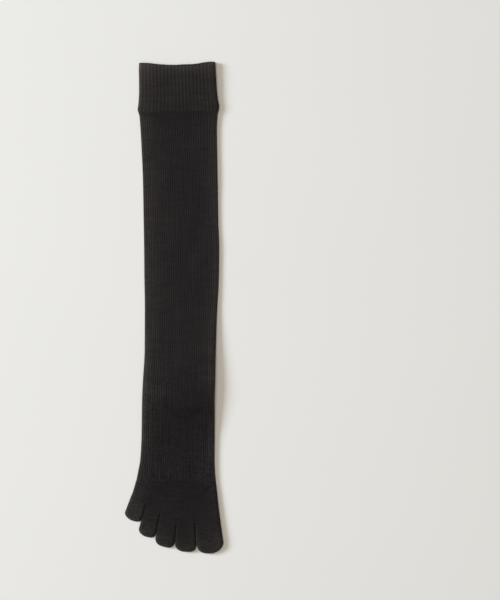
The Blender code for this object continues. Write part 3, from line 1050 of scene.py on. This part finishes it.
def make_foot(material):
    """The foot: a fine-ribbed tube that turns plain at the ball and ends where the toes start."""
    rows = np.linspace(0, 1, FOOT_ROWS)
    inner_rows = np.linspace(1, 0, INNER_ROWS)
    base = foot_base(rows)
    ribbing = foot_ribbing(base[..., 1])
    rings = lined(moved_out(base, -fine_rib_cut() * ribbing), foot_base(inner_rows))
    course = foot_y(np.concatenate([rows, inner_rows]), 1.0) / COURSE
    loft = Loft(
        rings=rings,
        closed=True,
        stitches_u=np.arange(FINE_COLUMNS + 1) / POINTS_PER_RIB,
        stitches_v=band_pairs(course, True),
        bake_v=tube_bake_bands(FOOT_ROWS, INNER_ROWS),
        ribbing=np.concatenate([ribbing, np.zeros((INNER_ROWS, FINE_COLUMNS))]),
        pale=foot_tone_and_painted_light(rings[..., 0], rings[..., 1]),
        sharp=[0, FOOT_ROWS - 1, FOOT_ROWS, len(rings) - 1],
        poles=None,
    )
    return add_knit("foot", loft, material)


def toe_base(index, rows, turns):
    """Rings of a toe pocket from the toe line to its tip."""
    counts, at_toes = foot_columns()
    first = counts[:index].sum()
    across = at_toes[first:first + counts[index] + 1]
    chord = (across - across[0]) / (across[-1] - across[0])
    near, far = toe_edges(index)[:2]
    starts = [near[0] + (near[1] - near[0]) * row for row in rows]
    ends = [far[0] + (far[1] - far[0]) * row for row in rows]
    for turn in turns:
        starts.append(tip_point(TOES[index], near[-1], far[-1], turn))
        ends.append(tip_point(TOES[index], near[-1], far[-1], math.pi - turn))
    starts, ends = np.array(starts), np.array(ends)
    x = starts[:, None, 0] + (ends - starts)[:, None, 0] * chord
    y = starts[:, None, 1] + (ends - starts)[:, None, 1] * chord
    return both_layers(x, y, toe_rise(index, x, y), np.broadcast_to(2 * across - 1, x.shape))


def make_toe(index, material):
    """A toe pocket: its inside first, up to the toe line, and then its outside, down to the tip."""
    turns = np.linspace(0, math.pi / 2, TIP_ROWS + 1)[1:-1]
    outer = toe_base(index, np.linspace(0, 1, TOE_ROWS), turns)
    inner = toe_base(index, np.linspace(0, 1, TOE_INNER_ROWS), INNER_TURNS)[::-1]
    inner = moved_out(inner, np.full(inner.shape[:2], KNIT_WALL))
    rings = np.concatenate([inner, outer])
    tip = toe_edges(index)[2]
    tip_x, tip_y = tip[TIP_ROWS]
    poles = np.array([inner[0].mean(axis=0), [tip_x, tip_y, foot_height(tip_y) / 2]])
    down = np.concatenate([np.linspace(TOE_LENGTH, 0, len(inner)), np.linspace(0, TOE_LENGTH, len(outer))])
    course = (LEG_END - FOOT_LENGTH) / COURSE - down / COURSE
    inner_bake = band_pairs(np.linspace(*TOE_BAKE_INNER, len(inner)), False)
    outer_bake = band_pairs(np.linspace(*TOE_BAKE_OUTER, len(outer)), False)
    from_tip = distance_to(tip, rings[..., 0], rings[..., 1])
    pale = foot_tone_and_painted_light(rings[..., 0], rings[..., 1])
    loft = Loft(
        rings=rings,
        closed=False,
        stitches_u=np.arange(rings.shape[1] + 1) / POINTS_PER_RIB,
        stitches_v=band_pairs(course, False),
        bake_v=inner_bake + [TOE_BAKE_RIM] + outer_bake,
        ribbing=0.0,
        pale=pale * (1 + TIP_PALER * np.exp(-((from_tip / TIP_PALE_REACH) ** 2))),
        sharp=[len(inner) - 1, len(inner)],
        poles=poles,
    )
    return add_knit(TOES[index].node, loft, material)


def make_sock():
    """Every piece in its own knit, in the place of its solid."""
    cuff_dye = knit_dye("cuff_knit", CUFF_LOOK)
    leg_dye = knit_dye("leg_knit", LEG_LOOK)
    foot_dye = knit_dye("foot_knit", FOOT_LOOK)
    toe_dye = knit_dye("toe_knit", TOE_LOOK)
    dressed = [
        ("cuff", make_cuff(cuff_dye), "cuff_knit"),
        ("leg", make_leg(leg_dye), "leg_knit"),
        ("foot", make_foot(foot_dye), "foot_knit"),
    ]
    for index, toe in enumerate(TOES):
        dressed.append((toe.node, make_toe(index, toe_dye), "toe_knit"))
    for node, piece, slot in dressed:
        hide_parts(node)
        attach(piece, "root")


# The floor, with its size and its drop below the sock in metres, and the size of its faint patches in
# millimetres
FLOOR_SIZE = 16.0
FLOOR_DROP = 0.0003
FLOOR_COLOUR = (0.804, 0.798, 0.783)
FLOOR_PATCH_SIZE = 180.0
FLOOR_PATCH_TONE = 0.02
FLOOR_ROUGHNESS = 0.95
FLOOR_SPECULAR_LEVEL = 0.1

# The camera looks straight down, and VIEW_LENGTH is how much of the floor it sees from top to bottom
CAMERA_CENTRE = (77.2, 7.6)
CAMERA_HEIGHT = 2040.0
VIEW_LENGTH = 610.8
SENSOR_WIDTH = 36.0
FARTHEST_SEEN = 20.0

# Two far lights. The key stands low on the little toe's side and the other hangs overhead. Angles in
# degrees, lengths in metres, and a turn is from the near side towards the cuff.
Light = namedtuple("Light", "name distance elevation turn size power colour")
LIGHTS = (
    Light("key", 5.0, 30.0, 12.0, 2.15, 276.0, (0.830, 0.910, 1.0)),
    Light("overhead", 4.0, 86.0, 12.0, 3.5, 84.0, (1.0, 0.909, 0.768)),
)
ROOM_COLOUR = (1.0, 0.95, 0.90, 1.0)
ROOM_STRENGTH = 0.10


def make_floor():
    bpy.ops.mesh.primitive_plane_add(size=FLOOR_SIZE, location=(0, 0, -FLOOR_DROP))
    floor = bpy.context.object
    floor.name = "floor"
    dye = Dye("floor_paper")
    place = dye.node("ShaderNodeTexCoord", {}, {}, "Object")
    tone = (dye.noise(place, FLOOR_PATCH_SIZE) - NOISE_MIDDLE) * FLOOR_PATCH_TONE + 1
    surface = dye.node("ShaderNodeBsdfPrincipled", {}, {
        "Base Color": dye.scaled(FLOOR_COLOUR, tone),
        "Roughness": FLOOR_ROUGHNESS,
        "Specular IOR Level": FLOOR_SPECULAR_LEVEL,
    })
    dye.node("ShaderNodeOutputMaterial", {}, {"Surface": surface})
    floor.data.materials.append(dye.material)


def add_light(look):
    """A round lamp that faces the sock."""
    elevation, turn = math.radians(look.elevation), math.radians(look.turn)
    lamp = bpy.data.lights.new(look.name, "AREA")
    lamp.shape = "DISK"
    lamp.size = look.size
    lamp.energy = look.power
    lamp.color = look.colour
    light = bpy.data.objects.new(look.name, lamp)
    level = math.cos(elevation)
    towards = Vector((-level * math.cos(turn), level * math.sin(turn), math.sin(elevation)))
    place = towards * look.distance
    light.location = place
    light.rotation_euler = (-place).to_track_quat("-Z", "Y").to_euler()
    bpy.context.scene.collection.objects.link(light)


def make_camera_and_light():
    scene = bpy.context.scene
    lens = bpy.data.cameras.new("camera")
    lens.sensor_width = SENSOR_WIDTH
    lens.lens = SENSOR_WIDTH * CAMERA_HEIGHT / VIEW_LENGTH
    lens.clip_end = FARTHEST_SEEN
    camera = bpy.data.objects.new("camera", lens)
    camera.location = (CAMERA_CENTRE[0] * MM, CAMERA_CENTRE[1] * MM, CAMERA_HEIGHT * MM)
    scene.collection.objects.link(camera)
    scene.camera = camera
    for look in LIGHTS:
        add_light(look)
    world = bpy.data.worlds.new("studio")
    world.use_nodes = True
    background = world.node_tree.nodes["Background"]
    background.inputs["Color"].default_value = ROOM_COLOUR
    background.inputs["Strength"].default_value = ROOM_STRENGTH
    scene.world = world
    scene.view_settings.view_transform = "Standard"
    scene.view_settings.look = "None"


make_sock()
make_floor()
make_camera_and_light()
